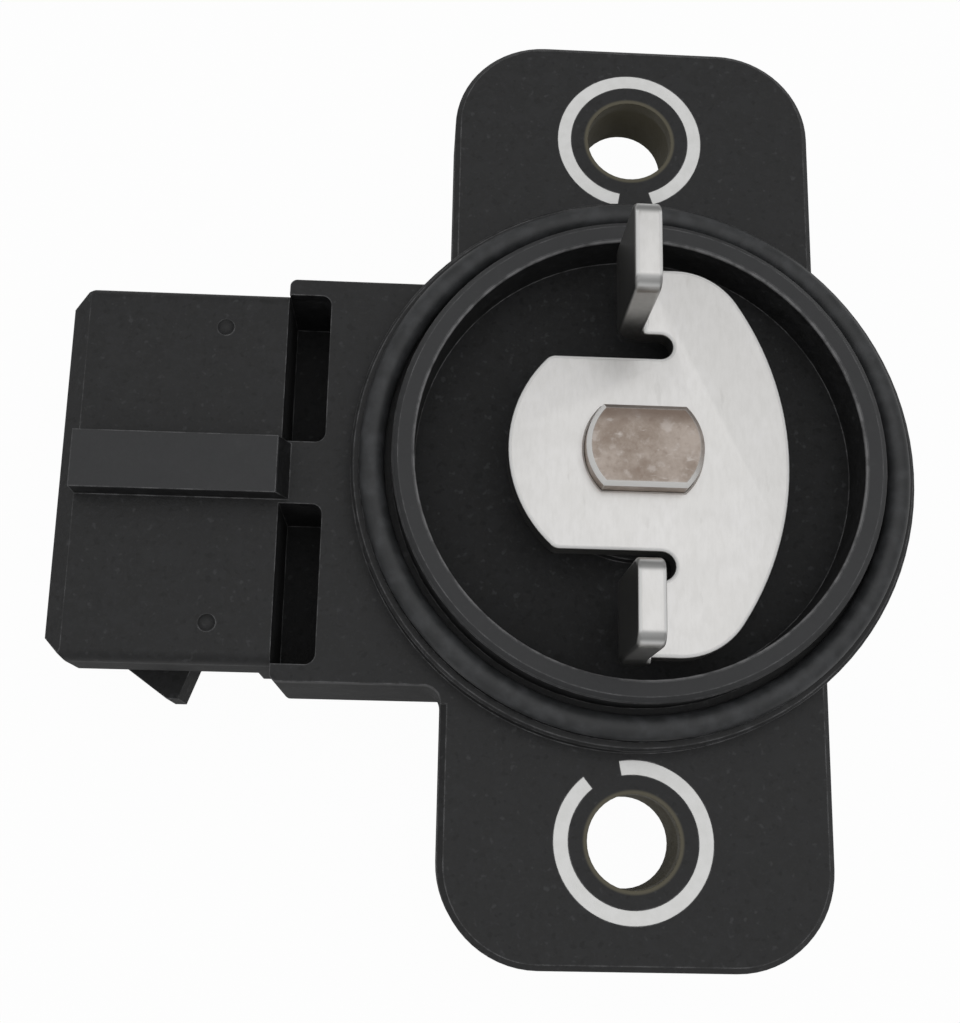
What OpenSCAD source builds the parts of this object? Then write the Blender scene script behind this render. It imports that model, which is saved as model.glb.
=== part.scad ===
// Throttle position sensor with a three-pin side connector.
// Millimetres. The origin lies on the shaft axis in the face of the ears that bolts to the throttle body.
// +Z points out of the spigot, +Y runs through the two ears, and the connector points along -X.

/* [Mounting ears] */
// Width of the ears
ear_w = 26; // [23:0.5:30]
// Overall length over both ears
ear_len = 65.6; // [63:0.1:74]
// Sideways offset of the ears from the shaft axis
ear_x = 0.25; // [-0.5:0.05:0.5]
// Lengthways offset of the ears from the shaft axis
ear_y = -0.3; // [-0.5:0.05:0.5]
// Corner radius of the ears
ear_corner = 6.6; // [3:0.2:8]
// Thickness of the ears
ear_t = 5; // [4:0.25:5.5]
// Chamfer round the bolting face of the ears
ear_chamfer = 0.4; // [0.2:0.1:0.8]
// Distance between the two mounting holes
hole_spacing = 50; // [49:0.5:52]
// Diameter of the mounting holes
hole_d = 6.1; // [4.5:0.1:6.6]

/* [Compression bushings] */
// Inner diameter of the split steel bushing
bushing_bore = 8.6; // [8:0.1:9.2]
// Wall of the split steel bushing
bushing_wall = 0.95; // [0.6:0.05:1.2]
// Angle of the split, in degrees
bushing_split = 28.5; // [10:0.5:40]
// Direction of the split in the upper ear
split_dir_upper = -85.5; // [-180:0.5:180]
// Direction of the split in the lower ear
split_dir_lower = 114.6; // [-180:0.5:180]

/* [Spigot and O-ring] */
// Outer diameter of the spigot
spigot_od = 33; // [32:0.5:35]
// Wall of the spigot
spigot_wall = 1.5; // [1:0.1:2.5]
// Height of the spigot above the ears
spigot_h = 4.6; // [4:0.2:6]
// Depth of the lever cavity below the spigot's rim
cavity_depth = 3.8; // [3:0.2:4.4]
// Height of the flange step above the ears
flange_h = 1.65; // [1.2:0.05:2]
// Thickness of the O-ring's section
oring_d = 1.7; // [1.3:0.05:2]
// Gap between the O-ring and the spigot
oring_gap = 0.5; // [0.3:0.01:1]
// Width of the flange rim left outside the O-ring groove
flange_rim = 0.6; // [0.4:0.05:1.5]
// Depth of the O-ring groove in the flange
oring_groove = 0.25; // [0.2:0.05:0.5]

/* [Body] */
// Depth of the housing below the ears' face
body_depth = 11.4; // [10.6:0.2:14]
// Depth of the whole sensor below the ears' face
total_depth = 15.4; // [15:0.2:19]
// Wall round the electronics chamber at the cover joint
rim_wall = 2.7; // [2.4:0.1:3.2]
// Underside of the cavity floor, below the ears' face
roof_depth = 2; // [1.4:0.2:2.2]

/* [Connector] */
// Sideways offset of the connector from the shaft axis
conn_y = -1; // [-2:0.1:2]
// Width of the collar that carries the connector
collar_w = 28.3; // [26:0.1:29]
// Distance from the shaft axis to the collar's end
collar_reach = 24.1; // [23.5:0.1:27]
// Length of the connector shroud beyond the collar
shroud_len = 15; // [12:0.2:18]
// Width of the shroud's upper part
shroud_w = 26.2; // [25:0.1:27]
// Wall of the shroud
shroud_wall = 1.8; // [1.4:0.1:2.2]
// Depth at which the shroud steps in
shroud_step_depth = 5.5; // [5:0.1:7]
// Amount by which the shroud steps in on each side
shroud_step_in = 1.2; // [0.6:0.1:2]
// Depth of the plug socket
socket_depth = 12.5; // [10:0.2:13]
// Width of the keying rib on top of the shroud
rib_w = 3.95; // [3:0.05:6]
// Height of the keying rib
rib_h = 1.9; // [1:0.1:2.5]
// Length of the collar's two pockets along the connector
pocket_len = 2.95; // [2:0.05:3]
// Depth of the collar's two pockets
pocket_depth = 7; // [4:0.2:7.2]
// Width of the bridge between the pockets
pocket_bridge = 4.4; // [4:0.1:7]
// Wall between the pockets and the collar's sides
pocket_wall = 1.15; // [0.8:0.05:2]
// Thickness of the web that closes the pockets at the shroud's root
web_t = 1.2; // [0.8:0.1:2]

/* [Terminals] */
// Distance between neighbouring terminals
pin_pitch = 5; // [4.6:0.1:5.5]
// Width of a terminal blade
pin_w = 2.8; // [2:0.1:3.2]
// Thickness of a terminal blade
pin_t = 0.8; // [0.5:0.05:0.9]
// Distance that the blades stay back from the shroud's mouth
pin_recess = 2; // [1:0.2:4]

/* [Rotor] */
// Thickness of the lever plate
lever_t = 1.75; // [1.2:0.05:2.1]
// Height of the lever's upper face above the ears' face
lever_top = 5; // [4.8:0.1:5.6]
// Radius of the lever's round hub
lever_hub_r = 8.9; // [8:0.1:10]
// Distance between the straight edges of the lever's hub
lever_neck = 13.2; // [12:0.1:14]
// Height of the shaft's end above the lever's face
shaft_proud = 1.3; // [0.2:0.1:2]
// Height of the two drive tabs above the lever's face
tab_h = 8; // [5:0.5:10]
// Distance from the shaft axis to the inner end of the upper tab
tab_in_upper = 8.1; // [7.7:0.05:8.8]
// Distance from the shaft axis to the inner end of the lower tab
tab_in_lower = 8.65; // [8:0.05:9]
// Gap between the tabs' outer ends and the cavity's wall
tab_gap = 0.85; // [0.6:0.05:1.5]
// Diameter of the shaft
shaft_d = 8; // [7:0.1:8.4]
// Distance across the flats of the shaft's end
shaft_flats = 5.5; // [4.5:0.1:6]
// Outer diameter of the shaft bearing
bearing_od = 11; // [10:0.2:11.6]
// Travel of the rotor between its stops, in degrees
travel = 100; // [80:1:110]

/* [Return spring] */
// Wire diameter of the return spring
wire_d = 0.8; // [0.5:0.05:0.9]
// Number of full turns besides the part turn between its legs
spring_turns = 2; // [1:1:2]

/* [Running gaps] */
// Radial gap between the shaft and its bearing
running_gap = 0.04; // [0.02:0.01:0.08]
// Gap between flat faces that slide on each other
face_gap = 0.03; // [0.02:0.01:0.1]

/* [Hidden] */
$fn = 96;

// A cut runs past the face that it opens by this much
past = 1;

hole_y = hole_spacing / 2;
bushing_r = bushing_bore / 2;
bushing_or = bushing_r + bushing_wall;

spigot_r = spigot_od / 2;
cavity_r = spigot_r - spigot_wall;
cavity_floor = spigot_h - cavity_depth;
oring_r = spigot_r + oring_gap + oring_d / 2;
flange_r = oring_r + oring_d / 2 + flange_rim;
spigot_chamfer = 0.4;
groove_floor = flange_h - oring_groove;

shaft_r = shaft_d / 2;
bearing_r = bearing_od / 2;
seal_w = 2.05;
seal_h = 1.8;
seal_r = shaft_r + seal_w;
boss_wall = 1.2;
boss_r = seal_r + boss_wall;
boss_low = -5.2;
washer_t = 0.3;
lever_low = lever_top - lever_t;
collar_t = 0.8;
bearing_top = lever_low - collar_t - washer_t - 2 * face_gap;
boss_top_r = bearing_r + boss_wall;

carrier_top = boss_low - washer_t - 2 * face_gap;
carrier_t = 1.65;
carrier_low = carrier_top - carrier_t;
ledge = 1;
board_r_gap = 0.15;
chamber_r = flange_r - rim_wall;
upper_chamber_r = chamber_r - ledge;
carrier_r = upper_chamber_r - 1.1;
board_t = 1;
board_top = carrier_low - 1.6;
board_low = board_top - board_t;
board_r = chamber_r - board_r_gap;
track_t = 0.06;
plate_t = 0.2;
finger_w = 0.45;
finger_gap = 0.2;
finger_run = 4.2;
wiper_back = 1.4;
wiper_front = 0.8;

pin_low = board_top;
pin_top = pin_low + pin_t;
pin_half_span = pin_pitch + pin_w / 2;
bay_half = pin_half_span + 1.2;
bay_end = -collar_reach + pocket_len + 0.55;
bay_top = pin_top + 0.8;

collar_half = collar_w / 2;
collar_round = 0.5;
mouth_x = -collar_reach - shroud_len;
shroud_half = shroud_w / 2;
low_half = shroud_half - shroud_step_in;
shroud_round = 0.9;
gate_r = 0.6;
gate_h = 0.3;
gate_ball_r = (pow(gate_r, 2) + pow(gate_h, 2)) / (2 * gate_h);
mouth_bevel_x = 1.25;
mouth_bevel_z = 0.9;
mouth_corner = 1.5;

cover_inset = 0.6;
cover_wall = 1.6;
cover_floor = 1.8;
cover_chamfer = 0.5;
seal_ring_inset = 1.05;
seal_ring_w = 0.8;
seal_ring_t = 0.6;

// Angles about the shaft axis: the rotor's lug at rest, and where its tracks begin
lug_dir = 90;
lug_half_deg = 7;
stop_half_deg = 7;
stop_gap_deg = 1.2;
wiper_dir = -travel / 2;
track_over = 9;
track_tail = 25;
window_from = 200;
window_to = 250;

// The lever: a round hub, a lobe with a wide arc, and two tabs bent up from the lobe
lobe_gap = 5.25;
lobe_top_gap = 2.2;
lobe_low_gap = 1.35;
lobe_arc_x = -10.2;
lobe_arc_y = -0.4;
lobe_arc_r = cavity_r - lobe_gap - lobe_arc_x;
lobe_round = 5;
hub_round = 0.9;
lobe_top_y = cavity_r - lobe_top_gap;
lobe_low_y = cavity_r - lobe_low_gap;
neck_y = -0.16;
tab_face_x = -1.72;
tab_reach = sqrt(pow(cavity_r - tab_gap, 2) - pow(tab_face_x, 2));
bend_in = 0.4;
lobe_x = tab_face_x + lever_t + bend_in;
tab_round = 1.1;
notch_x = 2.05;
full_turn = 360;

// General shapes

// A rectangle centred on the origin with round corners
module rounded_rect(w, l, r) {
    square([w - 2 * r, l], center = true);
    square([w, l - 2 * r], center = true);
    for (x = [-1, 1], y = [-1, 1])
        translate([x * (w / 2 - r), y * (l / 2 - r)]) circle(r);
}

// A prism whose outline stands in the Y-Z plane, from x0 to x1
module along_x(x0, x1) {
    translate([x0, 0, 0]) rotate([90, 0, 90]) linear_extrude(x1 - x0) children();
}

// A prism whose outline stands in the X-Z plane, from y0 to y1
module along_y(y0, y1) {
    translate([0, y1, 0]) rotate([90, 0, 0]) linear_extrude(y1 - y0) children();
}

// A prism from z0 to z1
module along_z(z0, z1) {
    translate([0, 0, z0]) linear_extrude(z1 - z0) children();
}

// A round bar or hole from z0 to z1
module round_z(r, z0, z1) {
    translate([0, 0, z0]) cylinder(r = r, h = z1 - z0);
}

// A trapezoid of height h, wide half_low at its foot and half_high at its head
module trapezoid(half_low, half_high, h) {
    polygon([[-half_low, 0], [half_low, 0], [half_high, h], [-half_high, h]]);
}

// A plate with round corners and a chamfer c round its upper face
module chamfered_plate(w, l, r, z0, z1, c) {
    along_z(z0, z1 - c) rounded_rect(w, l, r);
    translate([0, 0, z1 - c]) {
        along_y(-l / 2 + r, l / 2 - r) trapezoid(w / 2, w / 2 - c, c);
        along_x(-w / 2 + r, w / 2 - r) trapezoid(l / 2, l / 2 - c, c);
        for (x = [-1, 1], y = [-1, 1])
            translate([x * (w / 2 - r), y * (l / 2 - r), 0])
                cylinder(r1 = r, r2 = r - c, h = c);
    }
}

// A sector of a ring, from angle a0 to a1
module ring_sector(r0, r1, z0, z1, a0, a1) {
    translate([0, 0, z0]) rotate([0, 0, a0]) rotate_extrude(angle = a1 - a0)
        translate([r0, 0]) square([r1 - r0, z1 - z0]);
}

// The outline of the body below the ears: the round part and the connector's collar
module body_outline(inset) {
    circle(flange_r - inset);
    translate([-collar_reach + inset, conn_y - collar_half + inset])
        square([collar_reach, collar_w - 2 * inset]);
}

// Housing

// The outline of the connector shroud, drawn as Y and Z: a wide upper part on a narrower body
module shroud_section() {
    low_top = -shroud_step_depth + 2 * shroud_round;
    translate([conn_y, -shroud_step_depth / 2])
        rounded_rect(shroud_w, shroud_step_depth, shroud_round);
    translate([conn_y, (low_top - total_depth) / 2])
        rounded_rect(2 * low_half, total_depth + low_top, shroud_round);
}

// The hollow of the plug socket, drawn as Y and Z
module socket_section() {
    wide_h = shroud_step_depth - shroud_step_in - shroud_wall;
    full_h = total_depth - 2 * shroud_wall;
    translate([conn_y, -shroud_wall - wide_h / 2])
        rounded_rect(shroud_w - 2 * shroud_wall, wide_h, 0.6);
    translate([conn_y, -shroud_wall - full_h / 2])
        rounded_rect(2 * (low_half - shroud_wall), full_h, 0.6);
}

// The latch ramp on one side of the shroud; the plug's wire clip snaps behind it
module latch_ramp() {
    ramp_x = mouth_x + 3.1;
    tip_x = mouth_x + 7.2;
    back_x = mouth_x + 9;
    out = low_half + 2.9;
    along_z(-11, -7)
        polygon([[ramp_x, low_half - 0.5], [ramp_x, low_half], [tip_x, out], [tip_x + 0.8, out],
            [back_x, low_half + 0.2], [back_x, low_half - 0.5]]);
}

module shroud() {
    difference() {
        union() {
            along_x(mouth_x, -collar_reach + past) shroud_section();
            for (side = [-1, 1])
                translate([0, conn_y, 0]) mirror([0, side < 0 ? 1 : 0, 0]) latch_ramp();
        }
        along_x(mouth_x - past, mouth_x + socket_depth) socket_section();
        // Below the collar the shroud ends at its back wall
        translate([-collar_reach, conn_y - shroud_w, -total_depth - past])
            cube([2 * past, 2 * shroud_w, total_depth - body_depth + past]);
        // The bevel along the upper edge of the mouth
        along_y(conn_y - shroud_w, conn_y + shroud_w)
            polygon([[mouth_x - past, past], [mouth_x - past, -mouth_bevel_z],
                [mouth_x, -mouth_bevel_z], [mouth_x + mouth_bevel_x, 0], [mouth_x + mouth_bevel_x, past]]);
        // The two corners of the mouth
        for (side = [-1, 1])
            translate([mouth_x, conn_y + side * shroud_half, -total_depth / 2])
                rotate([0, 0, 45])
                    cube([mouth_corner * sqrt(2), mouth_corner * sqrt(2), total_depth + 2 * past], center = true);
    }
    // The keying rib, with a sloped end at the collar
    along_y(conn_y + 0.15 - rib_w / 2, conn_y + 0.15 + rib_w / 2)
        polygon([[mouth_x + mouth_bevel_x, -0.5], [mouth_x + mouth_bevel_x, rib_h],
            [-collar_reach - 0.05, rib_h], [-collar_reach + 0.65, 0], [-collar_reach + 0.65, -0.5]]);
    // The web under the shroud's step that closes the pockets
    translate([-collar_reach - web_t, conn_y - shroud_half, -pocket_depth - web_t])
        cube([web_t + past, shroud_w, pocket_depth + web_t - shroud_step_depth / 2]);
    // Two domed gate marks
    for (side = [-1, 1])
        translate([-collar_reach - 4.3, conn_y + side * 10.4, gate_h - gate_ball_r]) sphere(gate_ball_r);
}

// One of the two open pockets in the collar, drawn in plan
module pocket_plan(y0, y1) {
    corner = 0.7;
    x0 = -collar_reach;
    x1 = x0 + pocket_len;
    translate([x0, y0]) square([pocket_len - corner, y1 - y0]);
    translate([x0, y0 + corner]) square([pocket_len, y1 - y0 - 2 * corner]);
    for (y = [y0 + corner, y1 - corner])
        translate([x1 - corner, y]) circle(corner);
}

// The flange step and the spigot, revolved
module spigot() {
    c = spigot_chamfer;
    rotate_extrude()
        polygon([[0, -roof_depth], [0, cavity_floor], [cavity_r, cavity_floor], [cavity_r, spigot_h - 0.15],
            [cavity_r + 0.15, spigot_h], [spigot_r - c, spigot_h], [spigot_r, spigot_h - c],
            [spigot_r, groove_floor], [flange_r - flange_rim, groove_floor],
            [flange_r - flange_rim, flange_h], [flange_r - 0.2, flange_h], [flange_r, flange_h - 0.2],
            [flange_r, -roof_depth]]);
}

// The collar's outline, with its two outer corners rounded
module collar_plan() {
    half = collar_half - collar_round;
    translate([-collar_reach, conn_y - half]) square([collar_reach, 2 * half]);
    translate([-collar_reach + collar_round, conn_y - collar_half])
        square([collar_reach - collar_round, collar_w]);
    for (side = [-1, 1])
        translate([-collar_reach + collar_round, conn_y + side * half]) circle(collar_round);
}

// Stiffening ribs between the round body and the back of an ear
module gussets() {
    for (x = [-1, 1], side = [-1, 1])
        mirror([0, side < 0 ? 1 : 0, 0])
            translate([ear_x + x * (ear_w / 2 - 2.4), 0, 0])
                along_x(-0.9, 0.9)
                    polygon([[flange_r - 8, -ear_t + 0.5], [hole_y + 3.5, -ear_t + 0.5], [hole_y + 3.5, -ear_t],
                        [flange_r - 2.5, -body_depth + 0.6], [flange_r - 8, -body_depth + 0.6]]);
}

// The hollow behind the cavity floor: a round chamber with a ledge for the board, and the terminal bay
module chamber() {
    round_z(upper_chamber_r, board_top - past, -roof_depth);
    round_z(chamber_r, -body_depth - past, board_top);
    translate([bay_end, conn_y - bay_half, board_top])
        cube([-bay_end, 2 * bay_half, bay_top - board_top]);
    translate([bay_end, conn_y - bay_half - ledge, -body_depth - past])
        cube([-bay_end, 2 * (bay_half + ledge), board_top + body_depth + past]);
}

// What stands inside the chamber: the bearing boss, the two stops and the spring's anchor
module chamber_fittings() {
    round_z(boss_r, boss_low, -roof_depth + 0.5);
    for (a = [lug_dir - lug_half_deg - stop_gap_deg - stop_half_deg,
            lug_dir + travel + lug_half_deg + stop_gap_deg + stop_half_deg])
        ring_sector(upper_chamber_r - 3.6, upper_chamber_r + 0.5, carrier_top + 0.3, -roof_depth + 0.5,
            a - stop_half_deg, a + stop_half_deg);
    rotate([0, 0, anchor_dir])
        translate([boss_r + 2.9, wire_d / 2 + 0.1, -3.4]) cube([2.4, 1.8, 3.4 - roof_depth + 0.5]);
}

module housing() {
    color([0.13, 0.13, 0.14])
    difference() {
        union() {
            difference() {
                union() {
                    translate([ear_x, ear_y, 0])
                        chamfered_plate(ear_w, ear_len, ear_corner, -ear_t, 0, ear_chamfer);
                    round_z(flange_r, -body_depth, -roof_depth + 0.5);
                    spigot();
                    along_z(-body_depth, 0) collar_plan();
                    ear_fillet();
                    shroud();
                    gussets();
                }
                round_z(cavity_r, cavity_floor, spigot_h - 0.15);
                translate([0, 0, -pocket_depth]) linear_extrude(pocket_depth + past)
                    pockets();
                chamber();
            }
            chamber_fittings();
            round_z(boss_top_r, cavity_floor - 0.5, bearing_top - 0.3);
        }
        // The bearing's bore and the seal's seat
        round_z(bearing_r, boss_low + seal_h, spigot_h);
        round_z(seal_r, boss_low - past, boss_low + seal_h);
        // The mounting holes, and the rolled bushings moulded in round them
        for (side = [-1, 1]) translate([0, side * hole_y, 0]) {
            round_z(hole_d / 2, -ear_t - past, past);
            bushing_shape(side > 0 ? split_dir_upper : split_dir_lower, -ear_t - past, past);
        }
        // The terminals pass through the wall behind the socket
        for (i = [-1, 0, 1]) terminal_shape(i);
        // The groove for the cover's seal
        along_z(-body_depth - past, -body_depth + seal_ring_t) seal_ring_plan();
    }
}

// The small fillet between the collar and the lower ear
module ear_fillet() {
    r = 1.2;
    x0 = ear_x - ear_w / 2;
    y0 = conn_y - collar_half;
    along_z(-ear_t, 0)
        difference() {
            translate([x0 - r, y0 - r]) square([r + 0.5, r + 0.5]);
            translate([x0 - r, y0 - r]) circle(r);
        }
}

module pockets() {
    pocket_pair_y = collar_half - pocket_wall;
    pocket_plan(conn_y + 0.1 + pocket_bridge / 2, conn_y + pocket_pair_y);
    pocket_plan(conn_y - pocket_pair_y, conn_y + 0.1 - pocket_bridge / 2);
}

// Cover and its seal

module seal_ring_plan() {
    difference() {
        body_outline(seal_ring_inset);
        body_outline(seal_ring_inset + seal_ring_w);
    }
}

module cover_seal() {
    color([0.45, 0.2, 0.16])
    along_z(-body_depth, -body_depth + seal_ring_t) seal_ring_plan();
}

// The cover is a shallow pan; its pips hold the board against the housing's ledge
module back_cover() {
    pip_r = 1.2;
    color([0.16, 0.16, 0.17])
    union() {
        difference() {
            union() {
                along_z(-total_depth + cover_chamfer, -body_depth) body_outline(cover_inset);
                translate([0, 0, -total_depth]) {
                    cylinder(r1 = flange_r - cover_inset - cover_chamfer, r2 = flange_r - cover_inset,
                        h = cover_chamfer);
                    cover_box_foot();
                }
            }
            along_z(-total_depth + cover_floor, -body_depth + past) body_outline(cover_inset + cover_wall);
        }
        for (a = [45, 135, 225, 315])
            rotate([0, 0, a]) translate([board_r - 2.4, 0, 0])
                round_z(pip_r, -total_depth + cover_floor - 0.5, board_low);
    }
}

// The chamfered foot of the cover's straight part
module cover_box_foot() {
    x0 = -collar_reach + cover_inset;
    half = collar_half - cover_inset;
    c = cover_chamfer;
    translate([0, conn_y, 0])
        intersection() {
            along_x(x0, 0) trapezoid(half - c, half, c);
            along_y(-half, half) polygon([[x0 + c, 0], [0, 0], [0, c], [x0, c]]);
        }
}

// Sealing ring and bushings

module o_ring() {
    color([0.08, 0.09, 0.11])
    translate([0, 0, groove_floor + oring_d / 2])
        rotate_extrude() translate([oring_r, 0]) circle(oring_d / 2);
}

// A rolled bushing from z0 to z1, with its split at split_dir
module bushing_shape(split_dir, z0, z1) {
    a0 = split_dir + bushing_split / 2;
    ring_sector(bushing_r, bushing_or, z0, z1, a0, a0 + full_turn - bushing_split);
}

module bushing_upper() {
    color([0.85, 0.85, 0.83])
    translate([0, hole_y, 0]) bushing_shape(split_dir_upper, -ear_t, 0);
}

module bushing_lower() {
    color([0.85, 0.85, 0.83])
    translate([0, -hole_y, 0]) bushing_shape(split_dir_lower, -ear_t, 0);
}

// Lever

// What is cut off where a straight edge at y meets an arc of radius arc_r round arc, to leave a corner of
// radius r; side is 1 for a corner on the right and -1 for one on the left
module corner_cut(arc, arc_r, r, y, side) {
    up = sign(y);
    c_y = y - up * r;
    c = [arc.x + side * sqrt(pow(arc_r - r, 2) - pow(c_y - arc.y, 2)), c_y];
    d = c - arc;
    arc_end = arc + d * (arc_r + past) / norm(d);
    difference() {
        polygon([c, [c.x, y + up * past], [c.x + side * (2 * r + past), y + up * past], arc_end]);
        translate(c) circle(r);
    }
}

module lobe_plan() {
    arc = [lobe_arc_x, lobe_arc_y];
    difference() {
        intersection() {
            translate(arc) circle(lobe_arc_r);
            translate([lobe_x, -lobe_low_y]) square([lobe_arc_r, lobe_low_y + lobe_top_y]);
        }
        corner_cut(arc, lobe_arc_r, lobe_round, lobe_top_y, 1);
        corner_cut(arc, lobe_arc_r, lobe_round, -lobe_low_y, 1);
    }
}

module lever_plan() {
    difference() {
        union() {
            intersection() {
                circle(lever_hub_r);
                translate([-lever_hub_r, neck_y - lever_neck / 2])
                    square([lever_hub_r + notch_x + past, lever_neck]);
            }
            lobe_plan();
        }
        corner_cut([0, 0], lever_hub_r, hub_round, neck_y + lever_neck / 2, -1);
        corner_cut([0, 0], lever_hub_r, hub_round, neck_y - lever_neck / 2, -1);
        notch(neck_y + lever_neck / 2, tab_in_upper);
        notch(-tab_in_lower, neck_y - lever_neck / 2);
    }
}

// The relief notch between the hub and a bend, from y0 to y1
module notch(y0, y1) {
    r = (y1 - y0) / 2;
    translate([0, y0]) square([notch_x - r, y1 - y0]);
    translate([notch_x - r, y0 + r]) circle(r);
}

// A double-D outline: a circle of radius r with two flats half_flat from its centre
module double_d(r, half_flat) {
    intersection() {
        circle(r);
        square([2 * r + 1, 2 * half_flat], center = true);
    }
}

// A double-D bar whose last stretch c widens or narrows by c, up to z1
module double_d_bevel(r, half_flat, z1, c) {
    intersection() {
        translate([0, 0, z1 - abs(c)]) cylinder(r1 = r, r2 = r + c, h = abs(c));
        translate([0, 0, z1 - abs(c)])
            along_x(-r - 1, r + 1) trapezoid(half_flat, half_flat + c, abs(c));
    }
}

// A drive tab: the sheet bends up round a small radius and ends in round corners; it spans y0 to y1
module drive_tab(y0, y1) {
    bend_z = lever_top + bend_in;
    head = lever_top + tab_h;
    // The bend
    translate([lobe_x, 0, bend_z])
        intersection() {
            along_y(y0, y1) difference() {
                circle(lever_t + bend_in);
                circle(bend_in);
            }
            translate([-lever_t - bend_in, y0, -lever_t - bend_in])
                cube([lever_t + bend_in, y1 - y0, lever_t + bend_in]);
        }
    // The upright
    along_x(tab_face_x, tab_face_x + lever_t) {
        translate([y0, bend_z]) square([y1 - y0, head - bend_z - tab_round]);
        translate([y0 + tab_round, bend_z]) square([y1 - y0 - 2 * tab_round, head - bend_z]);
        for (y = [y0 + tab_round, y1 - tab_round])
            translate([y, head - tab_round]) circle(tab_round);
    }
}

module lever() {
    hole_r = shaft_r - 0.1;
    hole_half = shaft_flats / 2 + 0.03;
    color([0.78, 0.77, 0.75])
    difference() {
        union() {
            along_z(lever_low, lever_top) lever_plan();
            drive_tab(tab_in_upper, tab_reach);
            drive_tab(-tab_reach, -tab_in_lower);
        }
        along_z(lever_low - past, lever_top + past) double_d(hole_r, hole_half);
        double_d_bevel(hole_r, hole_half, lever_top, 0.15);
    }
}

// Shaft, bearing and seal

module shaft() {
    end_r = shaft_r - 0.13;
    end_half = shaft_flats / 2;
    end_top = lever_top + shaft_proud;
    bevel = 0.3;
    color([0.72, 0.66, 0.6])
    union() {
        along_z(lever_low - 0.2, end_top - bevel) double_d(end_r, end_half);
        double_d_bevel(end_r, end_half, end_top, -bevel);
        round_z(shaft_r + 1.2, lever_low - collar_t, lever_low);
        round_z(shaft_r, carrier_top, lever_low - collar_t + 0.1);
        along_z(carrier_low - 0.6, carrier_top) double_d(shaft_r, shaft_flats / 2);
    }
}

module shaft_bearing() {
    color([0.6, 0.45, 0.28])
    difference() {
        round_z(bearing_r, boss_low + seal_h, bearing_top);
        round_z(shaft_r + running_gap, boss_low, spigot_h);
    }
}

// The shaft seal: a ring with two lips towards the shaft
module shaft_seal() {
    lip = 0.5;
    color([0.12, 0.12, 0.12])
    translate([0, 0, boss_low])
        rotate_extrude()
            polygon([[shaft_r + running_gap, 0], [seal_r, 0], [seal_r, seal_h], [shaft_r + running_gap, seal_h],
                [shaft_r + running_gap, seal_h - 0.3], [shaft_r + lip, seal_h / 2], [shaft_r + running_gap, 0.3]]);
}

module thrust_washer() {
    color([0.85, 0.85, 0.8])
    difference() {
        round_z(shaft_r + 1.4, bearing_top + face_gap, bearing_top + face_gap + washer_t);
        round_z(shaft_r + 0.05, 0, spigot_h);
    }
}

module shim_washer() {
    color([0.8, 0.8, 0.78])
    difference() {
        round_z(shaft_r + 2.4, carrier_top, carrier_top + washer_t);
        round_z(shaft_r + 0.05, carrier_top - past, carrier_top + past);
    }
}

// Wiper carrier, with the lug that meets the stops and takes the spring's leg
module wiper_carrier() {
    color([0.88, 0.86, 0.78])
    difference() {
        union() {
            round_z(carrier_r, carrier_low, carrier_top);
            ring_sector(upper_chamber_r - 5.2, carrier_r - 0.4, carrier_low + 0.3, carrier_top + 1.4,
                lug_dir - lug_half_deg, lug_dir + lug_half_deg);
        }
        along_z(carrier_low - past, carrier_top + past) double_d(shaft_r + 0.02, shaft_flats / 2 + 0.02);
        // The window that lightens the side away from the wiper
        ring_sector(shaft_r + 3, carrier_r - 2.2, carrier_low - past, carrier_top + past,
            wiper_dir + window_from, wiper_dir + window_to);
    }
}

// The wiper: a thin plate under the carrier with spring fingers that ride on the two tracks
module wiper() {
    finger_pitch = finger_w + finger_gap;
    drop = carrier_low - plate_t - (board_top + track_t + face_gap);
    tilt = asin((drop - finger_w / 2) / finger_run);
    color([0.82, 0.66, 0.3])
    rotate([0, 0, wiper_dir]) {
        translate([collector_r0, -wiper_back, carrier_low - plate_t])
            cube([resistive_r1 - collector_r0, wiper_back + wiper_front, plate_t]);
        for (r0 = [collector_r0, resistive_r0], i = [0, 1, 2])
            translate([r0 + finger_gap / 2 + i * finger_pitch, wiper_front - 0.1, carrier_low - plate_t])
                rotate([-tilt, 0, 0]) {
                    cube([finger_w, finger_run, plate_t]);
                    translate([0, finger_run, plate_t / 2])
                        rotate([0, 90, 0]) cylinder(d = finger_w, h = finger_w, $fn = 24);
                }
    }
}

// Return spring: a coil round the bearing boss with two radial legs

coil_r = boss_r + 1.4;
coil_top = -roof_depth - wire_d / 2 - 0.05;
coil_low = carrier_top + wire_d / 2 + 0.05;
leg_out = 3.6;
leg_dir = lug_dir + lug_half_deg + 3;
anchor_dir = -60;
coil_sweep = full_turn * spring_turns + leg_dir - anchor_dir;
coil_steps = 84;

// The wire's centre line, from the housing's leg down the coil to the carrier's leg
wire_path = concat(
    [[(coil_r + leg_out) * cos(anchor_dir), (coil_r + leg_out) * sin(anchor_dir), coil_top]],
    [for (i = [0:coil_steps])
        let (a = anchor_dir + coil_sweep * i / coil_steps)
        [coil_r * cos(a), coil_r * sin(a), coil_top + (coil_low - coil_top) * i / coil_steps]],
    [[(coil_r + leg_out) * cos(leg_dir), (coil_r + leg_out) * sin(leg_dir), coil_low]]);

wire_sides = 10;

// The direction of the wire at its point i
function wire_dir(i) = let (
    a = wire_path[max(i - 1, 0)],
    b = wire_path[min(i + 1, len(wire_path) - 1)]) (b - a) / norm(b - a);

// A ring of points round the wire at its point i
function wire_ring(i) = let (
    t = wire_dir(i),
    side = cross([0, 0, 1], t) / norm(cross([0, 0, 1], t)),
    up = cross(t, side))
    [for (k = [0:wire_sides - 1])
        let (a = full_turn * k / wire_sides)
        wire_path[i] + wire_d / 2 * (cos(a) * side + sin(a) * up)];

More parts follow.
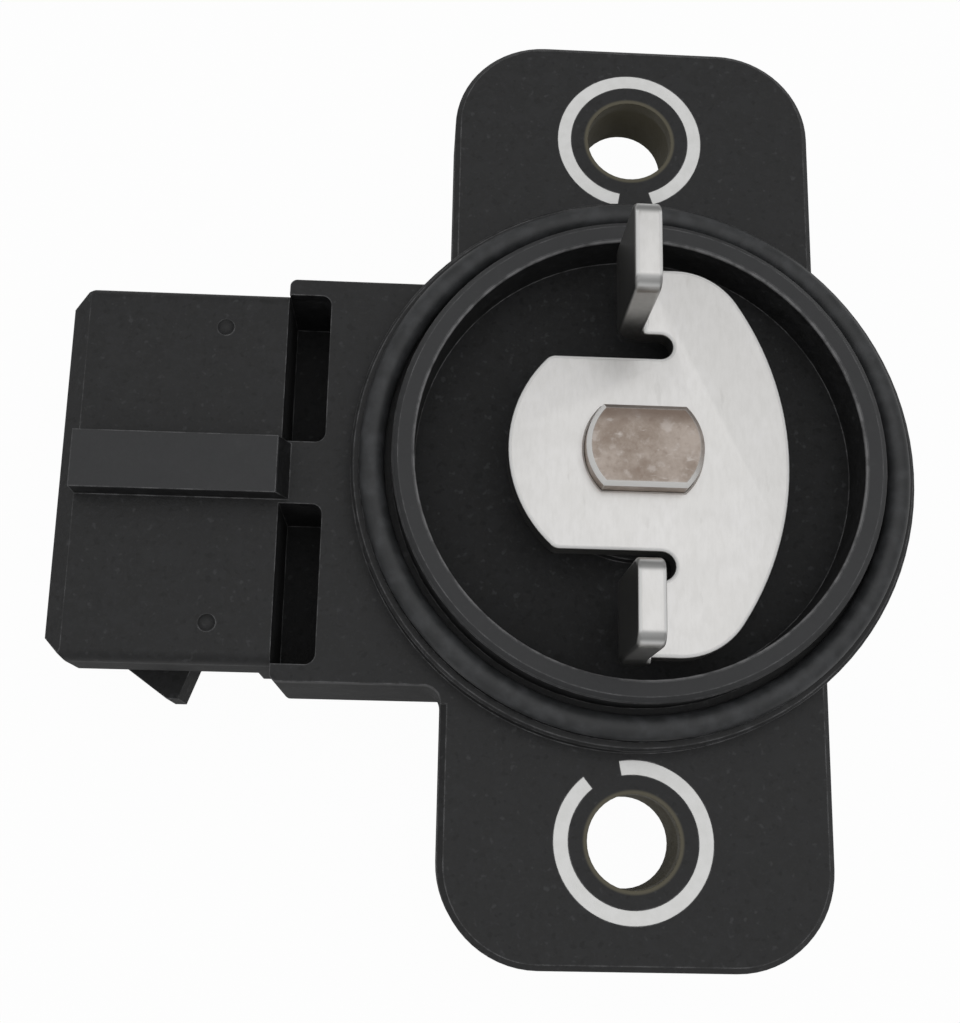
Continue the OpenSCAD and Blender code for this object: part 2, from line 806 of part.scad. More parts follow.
module return_spring() {
    n = len(wire_path);
    points = [for (i = [0:n - 1]) each wire_ring(i)];
    sides = [for (i = [0:n - 2], k = [0:wire_sides - 1])
        let (a = i * wire_sides + k, b = i * wire_sides + (k + 1) % wire_sides)
        [a, a + wire_sides, b + wire_sides, b]];
    first_end = [for (k = [0:wire_sides - 1]) k];
    last_end = [for (k = [0:wire_sides - 1]) (n - 1) * wire_sides + wire_sides - 1 - k];
    color([0.7, 0.7, 0.72])
    polyhedron(points = points, faces = concat([first_end, last_end], sides), convexity = 6);
}

// Element board and its printed tracks

collector_r0 = boss_r - 0.2;
collector_r1 = collector_r0 + 2;
resistive_r0 = collector_r1 + 0.8;
resistive_r1 = resistive_r0 + 2;
lead_r0 = resistive_r1 + 0.4;
lead_w = 0.8;
lead_lap = 3;
half_turn = full_turn / 2;
track_a0 = wiper_dir - track_over;
track_a1 = wiper_dir + travel + track_over + track_tail;
pin_foot = 4;
foot_x = bay_end + pin_foot;

module element_board() {
    color([0.86, 0.87, 0.84])
    along_z(board_low, board_top) {
        circle(board_r);
        translate([bay_end + board_r_gap, conn_y - bay_half - ledge + board_r_gap])
            square([-bay_end, 2 * (bay_half + ledge - board_r_gap)]);
    }
}

module resistive_track() {
    color([0.1, 0.1, 0.1])
    ring_sector(resistive_r0, resistive_r1, board_top, board_top + track_t, track_a0, track_a1);
}

module collector_track() {
    color([0.75, 0.75, 0.72])
    ring_sector(collector_r0, collector_r1, board_top, board_top + track_t, track_a0, track_a1);
}

// The printed leads from the tracks' ends to the feet of the terminals
module track_leads() {
    color([0.7, 0.7, 0.68]) {
        // Both ends of the resistive track, led round the board's rim
        for (side = [-1, 1]) {
            pad_y = conn_y + side * pin_pitch;
            track_end = side > 0 ? track_a1 : track_a0;
            lead_mid = lead_r0 + lead_w / 2;
            pad_end = side * (half_turn + lead_lap) - asin(pad_y / lead_mid);
            a0 = side > 0 ? track_end - 2 * lead_lap : pad_end;
            a1 = side > 0 ? pad_end : track_end + 2 * lead_lap;
            ring_sector(lead_r0, lead_r0 + lead_w, board_top, board_top + track_t, a0, a1);
            ring_sector(resistive_r1, lead_mid, board_top, board_top + track_t,
                track_end - (side > 0 ? lead_lap : 0), track_end + (side > 0 ? 0 : lead_lap));
            pad_lead(pad_y, -lead_mid * cos(asin(pad_y / lead_mid)));
        }
        // The collector's lead, from its end to the middle pad
        ring_sector(collector_r0, collector_r0 + lead_w, board_top, board_top + track_t,
            track_a1, half_turn + lead_lap - asin(conn_y / collector_r0));
        pad_lead(conn_y, -collector_r0 - lead_w / 4);
    }
}

// The straight end of a lead, from x1 to the end face of a terminal at y
module pad_lead(y, x1) {
    translate([foot_x, y - lead_w / 2, board_top]) cube([x1 - foot_x, lead_w, track_t]);
}

// Terminals

// One blade: a chamfered tip in the socket, a barb in the wall, a flat foot on the board; i is -1, 0 or 1
module terminal_shape(i) {
    tip = 0.8;
    x0 = mouth_x + pin_recess;
    x1 = foot_x;
    half = pin_w / 2;
    wall_x = mouth_x + socket_depth + 1;
    translate([0, conn_y + i * pin_pitch, 0])
        along_z(pin_low, pin_top)
            polygon([[x0, -half + tip * 0.6], [x0 + tip * 1.4, -half], [wall_x, -half], [wall_x + 0.4, -half - 0.3],
                [wall_x + 1.2, -half], [x1, -half], [x1, half], [wall_x + 1.2, half], [wall_x + 0.4, half + 0.3],
                [wall_x, half], [x0 + tip * 1.4, half], [x0, half - tip * 0.6]]);
}

module terminal_left() {
    color([0.85, 0.78, 0.55]) terminal_shape(1);
}

module terminal_middle() {
    color([0.85, 0.78, 0.55]) terminal_shape(0);
}

module terminal_right() {
    color([0.85, 0.78, 0.55]) terminal_shape(-1);
}

housing();
back_cover();
cover_seal();
o_ring();
bushing_upper();
bushing_lower();
lever();
shaft();
shaft_bearing();
shaft_seal();
thrust_washer();
shim_washer();
wiper_carrier();
wiper();
return_spring();
element_board();
resistive_track();
collector_track();
track_leads();
terminal_left();
terminal_middle();
terminal_right();
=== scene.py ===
import math

import bmesh
import bpy
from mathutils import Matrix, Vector


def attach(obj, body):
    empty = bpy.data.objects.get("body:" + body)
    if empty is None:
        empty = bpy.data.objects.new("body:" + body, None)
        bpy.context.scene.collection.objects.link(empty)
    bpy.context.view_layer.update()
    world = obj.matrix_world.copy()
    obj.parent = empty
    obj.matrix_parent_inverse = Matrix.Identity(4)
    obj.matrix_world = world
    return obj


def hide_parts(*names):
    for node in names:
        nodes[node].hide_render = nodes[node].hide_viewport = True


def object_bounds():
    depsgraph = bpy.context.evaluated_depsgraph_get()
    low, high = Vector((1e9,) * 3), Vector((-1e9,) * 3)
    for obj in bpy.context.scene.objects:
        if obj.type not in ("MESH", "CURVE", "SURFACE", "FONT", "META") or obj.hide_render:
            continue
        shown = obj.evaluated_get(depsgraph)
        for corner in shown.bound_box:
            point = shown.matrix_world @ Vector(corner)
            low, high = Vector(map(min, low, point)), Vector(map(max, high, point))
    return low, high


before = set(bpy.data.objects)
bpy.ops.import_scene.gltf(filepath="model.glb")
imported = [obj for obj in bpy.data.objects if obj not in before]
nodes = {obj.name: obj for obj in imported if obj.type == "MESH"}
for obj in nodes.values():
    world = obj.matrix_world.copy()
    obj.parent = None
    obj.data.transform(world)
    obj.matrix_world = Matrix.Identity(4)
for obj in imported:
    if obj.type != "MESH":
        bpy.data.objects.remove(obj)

cad_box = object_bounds()

# Housing
# One moulding of glass-filled PBT, charcoal black and matt, with a fine spark-eroded grain.
# It carries the ears, the spigot, the collar and the plug shroud; a pale painted highlight runs along the
# rounded edges.
# Radii, depths and places are in metres, in the model's own frame.
charcoal = (0.0085, 0.0087, 0.0092)
painted_edge_highlight = (0.2, 0.2, 0.205)
painted_arris_highlight = (0.26, 0.26, 0.265)
painted_warm_reflection = (0.115, 0.103, 0.068)
arris_r = 0.00013
grain_depth = 0.00009
hole_from_axis = 0.025
hole_wall_r = 0.0034
rim_z = 0.0041
rib_z = 0.0016
rib_root_x = -0.0225
past_cavity_r = 0.0152
below_rim_z = 0.0042
pocket_z = -0.0008
rim_inner_r = 0.01513
rim_outer_r = 0.01637
rim_chamfer_z = 0.00425
rim_flat_z = 0.0044
soft_border = 0.0004
crisp_border = 0.0002
line_border = 0.00004
bevel_samples = 6


class Socket:
    """A shader socket that takes part in ordinary sums."""

    def __init__(self, finish, socket):
        self.finish = finish
        self.socket = socket

    def sum(self, operation, first, second=0.0):
        return self.finish.add("ShaderNodeMath", {"operation": operation}, {0: first, 1: second})

    def __add__(self, other):
        return self.sum("ADD", self, other)

    __radd__ = __add__

    def __sub__(self, other):
        return self.sum("SUBTRACT", self, other)

    def __rsub__(self, other):
        return self.sum("SUBTRACT", other, self)

    def __mul__(self, other):
        return self.sum("MULTIPLY", self, other)

    __rmul__ = __mul__

    def __pow__(self, other):
        return self.sum("POWER", self, other)

    def __neg__(self):
        return self.sum("SUBTRACT", 0.0, self)

    def __abs__(self):
        return self.sum("ABSOLUTE", self)

    def sine(self):
        return self.sum("SINE", self)

    def above(self, other):
        return self.sum("MAXIMUM", self, other)

    def ramp(self, low, high, start, end):
        return self.finish.add("ShaderNodeMapRange", {"interpolation_type": "SMOOTHSTEP"},
                               {0: self, 1: low, 2: high, 3: start, 4: end})

    def step(self, low, high):
        """Rises smoothly from 0 at low to 1 at high."""
        return self.ramp(low, high, 0.0, 1.0)

    def fall(self, low, high):
        """Falls smoothly from 1 at low to 0 at high."""
        return self.ramp(low, high, 1.0, 0.0)


class Finish:
    """One material, or the light of the room, made of expressions on sockets."""

    def __init__(self, name, kind=bpy.data.materials):
        self.material = kind.new(name)
        self.material.use_nodes = True
        self.tree = self.material.node_tree
        self.tree.nodes.clear()
        self.place = self.add("ShaderNodeTexCoord", output="Object")

    def add(self, kind, settings=None, sockets=None, output=0):
        node = self.tree.nodes.new(kind)
        for name, value in (settings or {}).items():
            setattr(node, name, value)
        for name, value in (sockets or {}).items():
            if isinstance(value, Socket):
                self.tree.links.new(value.socket, node.inputs[name])
            else:
                node.inputs[name].default_value = value
        return Socket(self, node.outputs[output])

    def mix(self, factor, first, second):
        """Blends two colours."""
        def colour(value):
            return value if isinstance(value, Socket) else (*value, 1.0)
        return self.add("ShaderNodeMix", {"data_type": "RGBA"},
                        {0: factor, 6: colour(first), 7: colour(second)}, output=2)

    def noise(self, scale, detail=2.0, place=None, roughness=0.5):
        return self.add("ShaderNodeTexNoise", None,
                        {"Vector": place or self.place, "Scale": scale, "Detail": detail,
                         "Roughness": roughness})

    def axis(self, name, place=None):
        """One coordinate in the object's own axes, in metres."""
        return self.add("ShaderNodeSeparateXYZ", None, {0: place or self.place}, output=name)

    def facing(self, name):
        """How far the surface faces along one of the object's axes, from -1 to 1."""
        return self.axis(name, self.add("ShaderNodeTexCoord", output="Normal"))

    def stretched(self, factors):
        """The object's coordinates, scaled by a factor along each axis."""
        return self.add("ShaderNodeVectorMath", {"operation": "MULTIPLY"},
                        {0: self.place, 1: factors})

    def from_axis(self, offset=0.0):
        """The distance from the shaft's axis, or from the two lines offset from it to either side."""
        x = self.axis("X")
        y = abs(self.axis("Y")) - offset
        return (x * x + y * y) ** 0.5

    def softened(self, radius):
        """A normal that rounds the sharp edges."""
        return self.add("ShaderNodeBevel", {"samples": bevel_samples}, {"Radius": radius})

    def near_edge(self, soft):
        """Gives 1 where the softened normal leaves the flat one, along the edges."""
        flat = self.add("ShaderNodeNewGeometry", output="Normal")
        agree = self.add("ShaderNodeVectorMath", {"operation": "DOT_PRODUCT"},
                         {0: soft, 1: flat}, output="Value")
        return agree.fall(0.94, 0.996)

    def relief(self, height, distance, normal=None, strength=1.0):
        sockets = {"Height": height, "Distance": distance, "Strength": strength}
        if normal:
            sockets["Normal"] = normal
        return self.add("ShaderNodeBump", None, sockets)

    def end(self, surface, kind="ShaderNodeOutputMaterial"):
        last = self.tree.nodes.new(kind)
        self.tree.links.new(surface.socket, last.inputs["Surface"])

    def shade(self, **sockets):
        """Ends the material with a Principled shader; a name is written with _ for a space."""
        named = {name.replace("_", " "): value for name, value in sockets.items()}
        self.end(self.add("ShaderNodeBsdfPrincipled", None, named))
        return self.material


def times(colour, factor):
    return tuple(part * factor for part in colour)


def moulded(name, light, edge_highlight, edge_r, rubbed=None, bore=None, sunk=None, arris_highlight=None):
    """Matt black engineering plastic with a fine grain; light is its colour.
    The last four are masks that take the finish. Mating pieces have rubbed the skin paler at rubbed,
    a tan painted reflection lies on the walls at bore, the mould could not be polished at sunk, so that
    the skin is rougher, and a pale painted highlight lies on the arrises at arris_highlight.
    edge_highlight is the colour of the painted highlight along the rounded edges."""
    finish = Finish(name)
    soft = finish.softened(edge_r)
    edge = finish.near_edge(soft)
    grain = finish.noise(2600.0, 4.0, roughness=0.7)
    speck = finish.noise(1700.0, 2.0)
    fibre = finish.noise(1300.0, 3.0, finish.stretched((1.0, 0.35, 1.0)))
    cloud = finish.noise(160.0, 3.0)
    mottle = finish.noise(650.0, 4.0, roughness=0.65)
    pale = times(light, 5.0)
    colour = finish.mix(cloud.step(0.35, 0.7), light, times(light, 1.25))
    colour = finish.mix(mottle.step(0.42, 0.66), colour, times(light, 2.0))
    colour = finish.mix(grain.step(0.45, 0.75) * 0.8, colour, times(light, 2.6))
    colour = finish.mix(speck.step(0.62, 0.76) * 0.7, colour, pale)
    colour = finish.mix(speck.fall(0.3, 0.42) * 0.6, colour, times(light, 0.3))
    if rubbed:
        colour = finish.mix(rubbed(finish) * (0.5 + grain * 0.5), colour, pale)
    # Painted highlight along the rounded edges, broken up by the mottle
    colour = finish.mix(edge * (0.25 + mottle.step(0.4, 0.62) * 0.7), colour, edge_highlight)
    if bore:
        # Painted warm reflection on the walls of the screw holes
        colour = finish.mix(bore(finish), colour, painted_warm_reflection)
    if arris_highlight:
        # Painted highlight on the spigot's chamfer and inner arris
        broken = 0.35 + mottle.step(0.35, 0.6) * 0.65
        colour = finish.mix(arris_highlight(finish) * broken, colour, painted_arris_highlight)
    rough = 0.34 + cloud * 0.1 + mottle * 0.22 + grain * 0.16 - edge * 0.1
    if sunk:
        rough = rough + sunk(finish) * 0.2
    normal = finish.relief(grain * 0.7 + fibre * 0.3, grain_depth, soft, 0.5)
    return finish.shade(Base_Color=colour, Roughness=rough, Normal=normal, Specular_IOR_Level=0.52)


def dress(name, material):
    """Gives a node of the frame its finish in every slot."""
    for slot in nodes[name].material_slots:
        slot.material = material


def rubbed_by_mates(finish):
    """The keying rib's top, which the plug slides along, and the spigot's rim, which enters the bore."""
    z = finish.axis("Z")
    rib_top = z.step(rib_z, rib_z + crisp_border)
    rib = rib_top * finish.axis("X").fall(rib_root_x - soft_border, rib_root_x)
    return rib.above(z.step(rim_z, rim_z + soft_border))


def screw_holes(finish):
    """The walls of the two holes, 50 mm apart, below the chamfered mouths."""
    return finish.from_axis(hole_from_axis).fall(hole_wall_r - crisp_border, hole_wall_r)


def cavity_and_pockets(finish):
    """The floor of the lever's cavity and the two deep pockets of the collar."""
    z = finish.axis("Z")
    inside = finish.from_axis().fall(past_cavity_r - crisp_border, past_cavity_r)
    floor = inside * z.fall(below_rim_z - soft_border, below_rim_z)
    return floor.above(z.fall(pocket_z - soft_border, pocket_z))


def spigot_arrises(finish):
    """The outer chamfer and the inner arris of the spigot's rim."""
    radius = finish.from_axis()
    inner = radius.fall(rim_inner_r - line_border, rim_inner_r)
    outer = radius.step(rim_outer_r, rim_outer_r + line_border)
    return finish.axis("Z").step(rim_chamfer_z, rim_flat_z) * inner.above(outer)


dress("housing", moulded("black_plastic", charcoal, painted_edge_highlight, arris_r,
                         rubbed_by_mates, screw_holes, cavity_and_pockets, spigot_arrises))

# Back cover and its seal
# A shallow pan of the same plastic, welded on over a red silicone ring.
# It closes the electronics chamber and is the face that the sensor lies on.
cover_black = (0.009, 0.009, 0.0095)
# The edge colour is a painted highlight along the cover's rounded edges
cover_edge_highlight = (0.09, 0.09, 0.09)
cover_edge_r = 0.00015
silicone_red = (0.22, 0.03, 0.02)
silicone_light = (0.3, 0.05, 0.03)
dress("back_cover", moulded("cover_plastic", cover_black, cover_edge_highlight, cover_edge_r))

silicone = Finish("red_silicone")
speck = silicone.noise(2500.0)
dress("cover_seal", silicone.shade(
    Base_Color=silicone.mix(speck, silicone_red, silicone_light),
    Roughness=0.4 + speck * 0.2))

# O-ring
# Nitrile rubber, 1.7 mm in section, lying in the flange's groove round the spigot.
# It is lightly oiled, so it shows a soft bluish sheen, and dust sits on it.
oiled_black = (0.03, 0.0315, 0.033)
dusty_black = (0.07, 0.0725, 0.077)
skin_depth = 0.00002
rubber = Finish("nitrile_rubber")
dust = rubber.noise(900.0, 4.0)
skin = rubber.noise(3500.0, 2.0)
dress("o_ring", rubber.shade(
    Base_Color=rubber.mix(dust.step(0.35, 0.75) * 0.7, oiled_black, dusty_black),
    Roughness=0.4 + dust * 0.22,
    Normal=rubber.relief(skin, skin_depth, None, 0.5),
    Specular_IOR_Level=0.5))
dress("shaft_seal", rubber.material)

# Compression bushings
# Two split sleeves rolled from steel strip and zinc plated, moulded into the ears.
# Only their C-shaped ends show, flush with the bolting face, and they are nearly white.
zinc_dull = (0.9, 0.9, 0.885)
zinc_bright = (0.97, 0.97, 0.96)
zinc_edge_r = 0.00008
zinc_depth = 0.00001
zinc = Finish("zinc_plate")
spangle = zinc.noise(1200.0, 3.0)
fine = zinc.noise(9000.0, 2.0)
dress("bushing_upper", zinc.shade(
    Base_Color=zinc.mix(spangle.step(0.3, 0.7), zinc_dull, zinc_bright),
    Metallic=0.25,
    Roughness=0.36 + spangle * 0.16,
    Normal=zinc.relief(fine, zinc_depth, zinc.softened(zinc_edge_r), 0.5)))
for name in ("bushing_lower", "thrust_washer", "shim_washer"):
    dress(name, zinc.material)

# Lever
# Stamped from 1.75 mm steel strip, bent up at two tabs and zinc plated; the throttle shaft drives the tabs.
# The faces are satin with a faint upright rolling grain, and the tumbled edges are round and carry a
# painted highlight.
# Every upright face is darker, partly the duller sheared edge and partly painted shade; the tabs' outer
# faces, the curve of their corners and the outer end of each bend carry painted shade.
plate_grey = (0.77, 0.76, 0.745)
plate_light = (0.82, 0.81, 0.80)
rolled_grey = (0.68, 0.67, 0.65)
scuffed_grey = (0.56, 0.55, 0.53)
sheared_and_shaded_grey = (0.36, 0.355, 0.34)
painted_minus_x_shade = (0.2, 0.2, 0.195)
painted_rim_highlight = (0.97, 0.97, 0.96)
painted_corner_shade = (0.3, 0.3, 0.295)
painted_bend_shade = (0.12, 0.12, 0.118)
rolling_depth = 0.000008
tumbled_r = 0.00028
edge_facets = 4
same_point = 1e-7
flat_within = math.radians(0.4)
outer_edge_over = math.radians(50)
crease_over = math.radians(30)
lever_hole_r = 0.0043
tab_corner_z = 0.0115
tab_corner_full_z = 0.012
bend_end_y = 0.0137
bend_end_full_y = 0.01375
bend_x = 0.0006
bend_full_x = 0.0005
bend_low_z = 0.006
bend_top_z = 0.0075

steel = Finish("stamped_steel")
rolling = steel.noise(2600.0, 4.0, steel.stretched((1.0, 0.3, 1.0)), roughness=0.65)
patch = steel.noise(260.0, 3.0)
fine = steel.noise(6500.0, 2.0)
scuff = steel.noise(1400.0, 4.0, steel.stretched((1.0, 0.25, 1.0)))
upward = steel.facing("Z")
tilt = abs(steel.facing("Y"))
height = steel.axis("Z")
# Upright faces are darker: partly the duller sheared edge, partly painted shade
sheared_and_shaded = abs(upward).fall(0.35, 0.75)
# Painted shade on the outer end of each tab's bend, low down at its foot
bend_end_shade = abs(steel.axis("Y")).step(bend_end_y, bend_end_full_y)
bend_end_shade = bend_end_shade * steel.axis("X").fall(bend_full_x, bend_x) * height.fall(bend_low_z, bend_top_z)
# Painted highlight on the tumbled edges between flat and upright, left off the bend's painted shade
rim_highlight = upward.step(0.5, 0.68) * upward.fall(0.935, 0.985) * (1.0 - bend_end_shade)
# Painted shade on the rounded top corners of the tabs
corner = tilt.step(0.1, 0.35) * tilt.fall(0.56, 0.86) * height.step(tab_corner_z, tab_corner_full_z)
colour = steel.mix(patch.step(0.3, 0.7), plate_grey, plate_light)
colour = steel.mix(rolling.step(0.35, 0.7) * 0.35, colour, rolled_grey)
colour = steel.mix(scuff.step(0.64, 0.75) * 0.3, colour, scuffed_grey)
colour = steel.mix(sheared_and_shaded * (0.55 + scuff * 0.4), colour, sheared_and_shaded_grey)
# Painted shade on the faces turned towards -X, the tabs' outer faces
colour = steel.mix((-steel.facing("X")).step(0.25, 0.8) * 0.8, colour, painted_minus_x_shade)
colour = steel.mix(rim_highlight, colour, painted_rim_highlight)
colour = steel.mix(corner * 0.75, colour, painted_corner_shade)
colour = steel.mix(bend_end_shade * 0.6, colour, painted_bend_shade)
stamped_steel = steel.shade(
    Base_Color=colour,
    Metallic=1.0 - rim_highlight * 0.8 * (1.0 - corner),
    Roughness=0.3 + patch * 0.08 + rolling * 0.05,
    Normal=steel.relief(rolling * 0.5 + fine * 0.5, rolling_depth, None, 0.6))


def stood(name, data):
    """A new object in the scene that shows a mesh, a lamp or a camera."""
    thing = bpy.data.objects.new(name, data)
    bpy.context.scene.collection.objects.link(thing)
    return thing


def tumbled(name, node, material, radius, keep_sharp):
    """A copy of a node's form whose outer edges are rounded; keep_sharp tells which points stay sharp."""
    form = bmesh.new()
    form.from_mesh(nodes[node].data)
    bmesh.ops.remove_doubles(form, verts=form.verts, dist=same_point)
    bmesh.ops.dissolve_limit(form, angle_limit=flat_within, verts=form.verts, edges=form.edges)
    outer = [edge for edge in form.edges
             if edge.is_manifold and edge.calc_face_angle_signed() > outer_edge_over
             and not any(keep_sharp(corner.co) for corner in edge.verts)]
    bmesh.ops.bevel(form, geom=outer, offset=radius, segments=edge_facets, profile=0.5, affect="EDGES",
                    clamp_overlap=False)
    mesh = bpy.data.meshes.new(name)
    form.to_mesh(mesh)
    form.free()
    mesh.materials.clear()
    mesh.materials.append(material)
    mesh.shade_smooth()
    mesh.set_sharp_from_angle(angle=crease_over)
    return stood(name, mesh)


lever = tumbled("lever_stamping", "lever", stamped_steel, tumbled_r,
                lambda point: math.hypot(point.x, point.y) < lever_hole_r)
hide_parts("lever")
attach(lever, "rotor")

# Shaft
# Turned steel with a double-D end that is staked into the lever.
# The faced end is duller and browner than the lever, with the tool's rings; a painted highlight lies on its
# bevel and sharp edges, strongest on the -X and -Y sides.
turned_brown = (0.33, 0.265, 0.22)
turned_light = (0.56, 0.485, 0.43)
smeared_light = (0.66, 0.6, 0.56)
smeared_dark = (0.26, 0.19, 0.15)
scratched = (0.78, 0.73, 0.69)
darker_plus_y_tone = (0.2, 0.15, 0.12)
painted_bevel_highlight = (0.95, 0.94, 0.92)
ring_rad_per_m = 24000.0
ring_depth = 0.000012
shaft_edge_r = 0.00015
darkening_from_y = 0.0011
darkening_full_y = 0.0023

turned = Finish("turned_steel")
soft = turned.softened(shaft_edge_r)
edge = turned.near_edge(soft)
ring = (turned.from_axis() * ring_rad_per_m).sine() * 0.5 + 0.5
tarnish = turned.noise(420.0, 5.0, roughness=0.65)
smear = turned.noise(1100.0, 5.0, roughness=0.6)
scratch = turned.noise(2600.0, 4.0, turned.stretched((0.4, 1.0, 1.0)))
upward = turned.facing("Z")
# Painted highlight on the bevel round the end, strongest where it faces -X or -Y
lit = (-turned.facing("X")).above(-turned.facing("Y"))
bevel_highlight = upward.fall(0.8, 0.88) * upward.step(0.4, 0.5) * (0.15 + lit.step(0.0, 0.5) * 0.85)
colour = turned.mix(tarnish.step(0.3, 0.7), turned_brown, turned_light)
colour = turned.mix(smear.step(0.52, 0.68) * 0.55, colour, smeared_light)
colour = turned.mix(smear.fall(0.32, 0.46) * 0.4, colour, smeared_dark)
colour = turned.mix(scratch.step(0.62, 0.72) * 0.5, colour, scratched)
# The end is darker towards +Y
colour = turned.mix(turned.axis("Y").step(darkening_from_y, darkening_full_y) * 0.8, colour, darker_plus_y_tone)
# Painted highlight along the end's sharp edges and on its bevel
colour = turned.mix((edge * 0.5).above(bevel_highlight), colour, painted_bevel_highlight)
dress("shaft", turned.shade(
    Base_Color=colour,
    Metallic=0.85 - bevel_highlight * 0.75,
    Roughness=0.4 + tarnish * 0.14 - edge * 0.12,
    Normal=turned.relief(ring * 0.5 + smear * 0.5, ring_depth, soft, 0.5)))

# Shaft bearing
# A sintered bronze bush soaked in oil, pressed into the housing's boss.
# Its open pores show as dark specks.
bronze_tan = (0.42, 0.25, 0.11)
bronze_pore = (0.12, 0.07, 0.03)
pore_depth = 0.00002
bronze = Finish("sintered_bronze")
pore = bronze.noise(4000.0, 3.0)
dress("shaft_bearing", bronze.shade(
    Base_Color=bronze.mix(pore.step(0.55, 0.7), bronze_tan, bronze_pore),
    Metallic=0.85,
    Roughness=0.38 + pore * 0.2,
    Normal=bronze.relief(pore, pore_depth)))

# Wiper carrier and wiper
# The carrier is a cream acetal disc keyed to the shaft.
# The wiper is a stamped bronze spring welded under it.
acetal_cream = (0.6, 0.56, 0.42)
acetal_pale = (0.7, 0.66, 0.52)
contact_gold = (0.7, 0.5, 0.2)
contact_pale = (0.82, 0.64, 0.32)
acetal = Finish("cream_acetal")
haze = acetal.noise(300.0, 3.0)
dress("wiper_carrier", acetal.shade(
    Base_Color=acetal.mix(haze, acetal_cream, acetal_pale),
    Roughness=0.3 + haze * 0.2))

contact = Finish("contact_bronze")
streak = contact.noise(1500.0, 3.0, contact.stretched((1.0, 0.2, 1.0)))
dress("wiper", contact.shade(
    Base_Color=contact.mix(streak, contact_gold, contact_pale),
    Metallic=1.0,
    Roughness=0.22 + streak * 0.15))

# Return spring
# Music wire wound round the boss.
# One leg bears on the housing and one on the carrier's lug.
wire_dark = (0.34, 0.34, 0.35)
wire_light = (0.48, 0.48, 0.49)
wire = Finish("spring_wire")
draw = wire.noise(2600.0, 3.0)
dress("return_spring", wire.shade(
    Base_Color=wire.mix(draw, wire_dark, wire_light),
    Metallic=1.0,
    Roughness=0.28 + draw * 0.15))

# Element board and its tracks
# A ceramic board with a printed carbon track, a silver collector and silver leads to the three pads.
# It lies in the chamber behind the carrier, with its printed side to the wiper.
ceramic_pale = (0.7, 0.69, 0.63)
ceramic_fleck = (0.58, 0.57, 0.52)
carbon_black = (0.008, 0.008, 0.009)
carbon_grey = (0.022, 0.022, 0.024)
silver_dull = (0.5, 0.5, 0.48)
silver_bright = (0.66, 0.66, 0.64)
ceramic = Finish("ceramic_board")
speck = ceramic.noise(1800.0, 4.0)
dress("element_board", ceramic.shade(
    Base_Color=ceramic.mix(speck.step(0.5, 0.75), ceramic_pale, ceramic_fleck),
    Roughness=0.55 + speck * 0.2))

carbon = Finish("carbon_ink")
print_grain = carbon.noise(2400.0, 3.0)
dress("resistive_track", carbon.shade(
    Base_Color=carbon.mix(print_grain, carbon_black, carbon_grey),
    Roughness=0.34 + print_grain * 0.2))

silver = Finish("silver_ink")
flake = silver.noise(3000.0, 3.0)
dress("collector_track", silver.shade(
    Base_Color=silver.mix(flake, silver_dull, silver_bright),
    Metallic=0.8,
    Roughness=0.4 + flake * 0.2))
dress("track_leads", silver.material)

# Terminals
# Three brass blades, tin plated, that stand in the plug socket and lie on the board's pads behind the wall.
# Wiping plugs have left faint streaks along them.
tin_dull = (0.56, 0.54, 0.48)
tin_bright = (0.7, 0.68, 0.62)
streak_depth = 0.00001
tin = Finish("tin_plate")
wipe = tin.noise(1300.0, 3.0, tin.stretched((0.15, 1.0, 1.0)))
dress("terminal_left", tin.shade(
    Base_Color=tin.mix(wipe.step(0.3, 0.7), tin_dull, tin_bright),
    Metallic=0.95,
    Roughness=0.26 + wipe * 0.16,
    Normal=tin.relief(wipe, streak_depth)))
for name in ("terminal_middle", "terminal_right"):
    dress(name, tin.material)

# Floor, lamps and camera
# The floor is plain white paper under the sensor; the light is a broad overhead softbox and a pale room.
# The camera stands where the photograph was taken, a little left of the shaft and below it.
paper_dull = (0.6, 0.6, 0.6)
paper_pale = (0.62, 0.62, 0.62)
white = (1.0, 1.0, 1.0, 1.0)
paper_seen = 0.975
paper_mirrored = 0.35
paper_half = 1.5
paper_gap = 0.00002
# The paper lies a hair lower than the cover, so that their two faces don't mingle in views from below
floor_z = cad_box[0][2] - paper_gap
horizon_light = 0.25
overhead_light = 0.65
focal_mm = 48.67
camera_place = (-0.014526, -0.025389, 0.091601)
camera_turn_deg = (13.511, -2.844, 1.122)
near_clip = 0.005

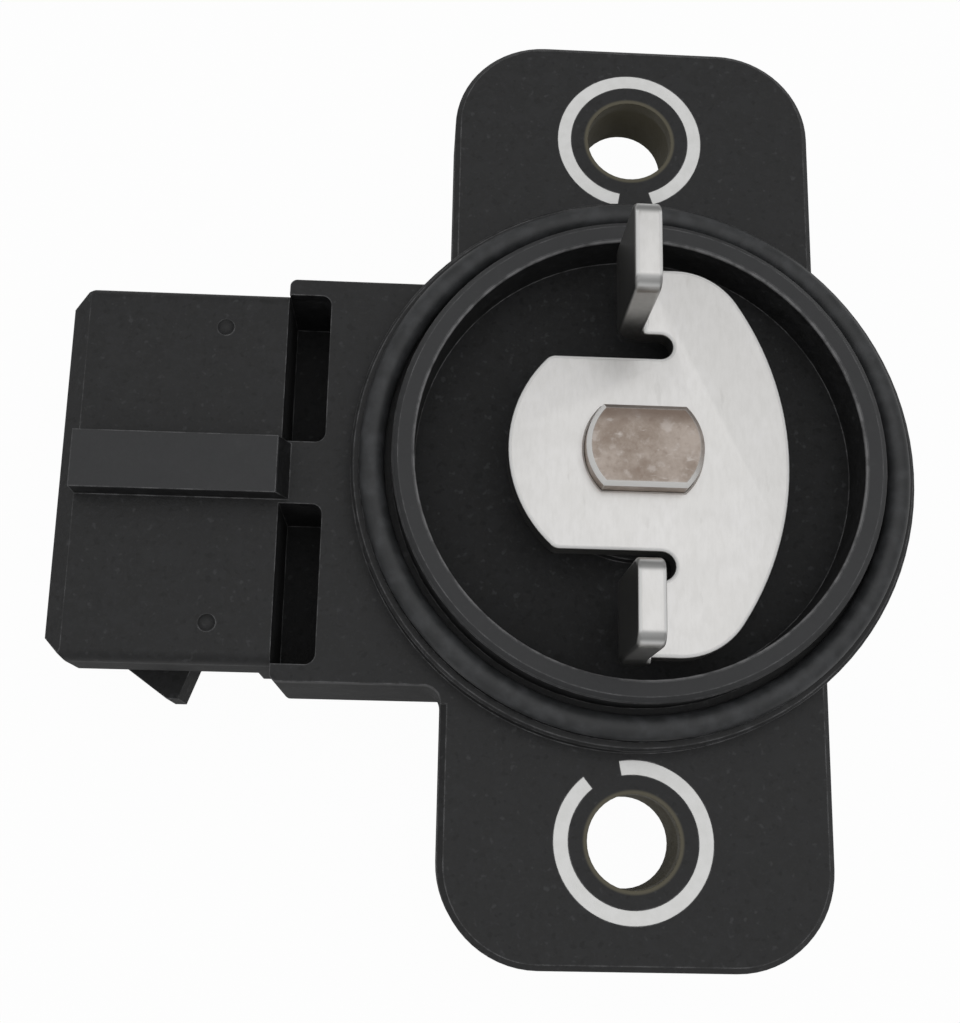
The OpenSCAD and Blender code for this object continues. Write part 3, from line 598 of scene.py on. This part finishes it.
paper = Finish("white_paper")
sheet = paper.add("ShaderNodeBsdfDiffuse", None,
                  {"Color": paper.mix(paper.noise(60.0, 3.0), paper_dull, paper_pale)})
glow = paper.add("ShaderNodeEmission", None, {"Color": white, "Strength": 1.0})
seen = paper.add("ShaderNodeLightPath", output="Is Camera Ray")
mirrored = paper.add("ShaderNodeLightPath", output="Is Glossy Ray")
shine = (seen * paper_seen).above(mirrored * paper_mirrored)
paper.end(paper.add("ShaderNodeMixShader", None, {0: shine, 1: sheet, 2: glow}))
mesh = bpy.data.meshes.new("floor")
mesh.from_pydata([(-paper_half, -paper_half, floor_z), (paper_half, -paper_half, floor_z),
                  (paper_half, paper_half, floor_z), (-paper_half, paper_half, floor_z)],
                 [], [(0, 1, 2, 3)])
mesh.materials.append(paper.material)
floor = stood("floor", mesh)

# The room is brighter overhead than at the horizon; only what the camera sees of it is pure white
studio = Finish("studio", bpy.data.worlds)
bpy.context.scene.world = studio.material
rise = studio.axis("Z", studio.add("ShaderNodeTexCoord", output="Generated")).above(0.0)
room = rise * (overhead_light - horizon_light) + horizon_light
direct = studio.add("ShaderNodeLightPath", output="Is Camera Ray")
through = studio.add("ShaderNodeLightPath", output="Is Transmission Ray")
strength = room.above(direct.above(through))
studio.end(studio.add("ShaderNodeBackground", None, {"Color": white, "Strength": strength}),
           "ShaderNodeOutputWorld")


def softbox(name, place, aim, size, power):
    """A square area lamp that looks from place to aim; power is in watts."""
    lamp = bpy.data.lights.new(name, "AREA")
    lamp.shape = "SQUARE"
    lamp.size = size
    lamp.energy = power
    holder = stood(name, lamp)
    holder.location = place
    holder.rotation_euler = (Vector(aim) - Vector(place)).to_track_quat("-Z", "Y").to_euler()


softbox("overhead", place=(0.1, 0.05, 0.45), aim=(0.0, 0.0, 0.0), size=0.45, power=0.225)
softbox("front_left", place=(-0.3, -0.16, 0.3), aim=(-0.01, 0.0, 0.0), size=0.2, power=0.04)

lens = bpy.data.cameras.new("camera")
lens.lens = focal_mm
lens.clip_start = near_clip
camera = stood("camera", lens)
camera.location = camera_place
camera.rotation_euler = [math.radians(turn) for turn in camera_turn_deg]
scene = bpy.context.scene
scene.camera = camera
scene.view_settings.view_transform = "Standard"
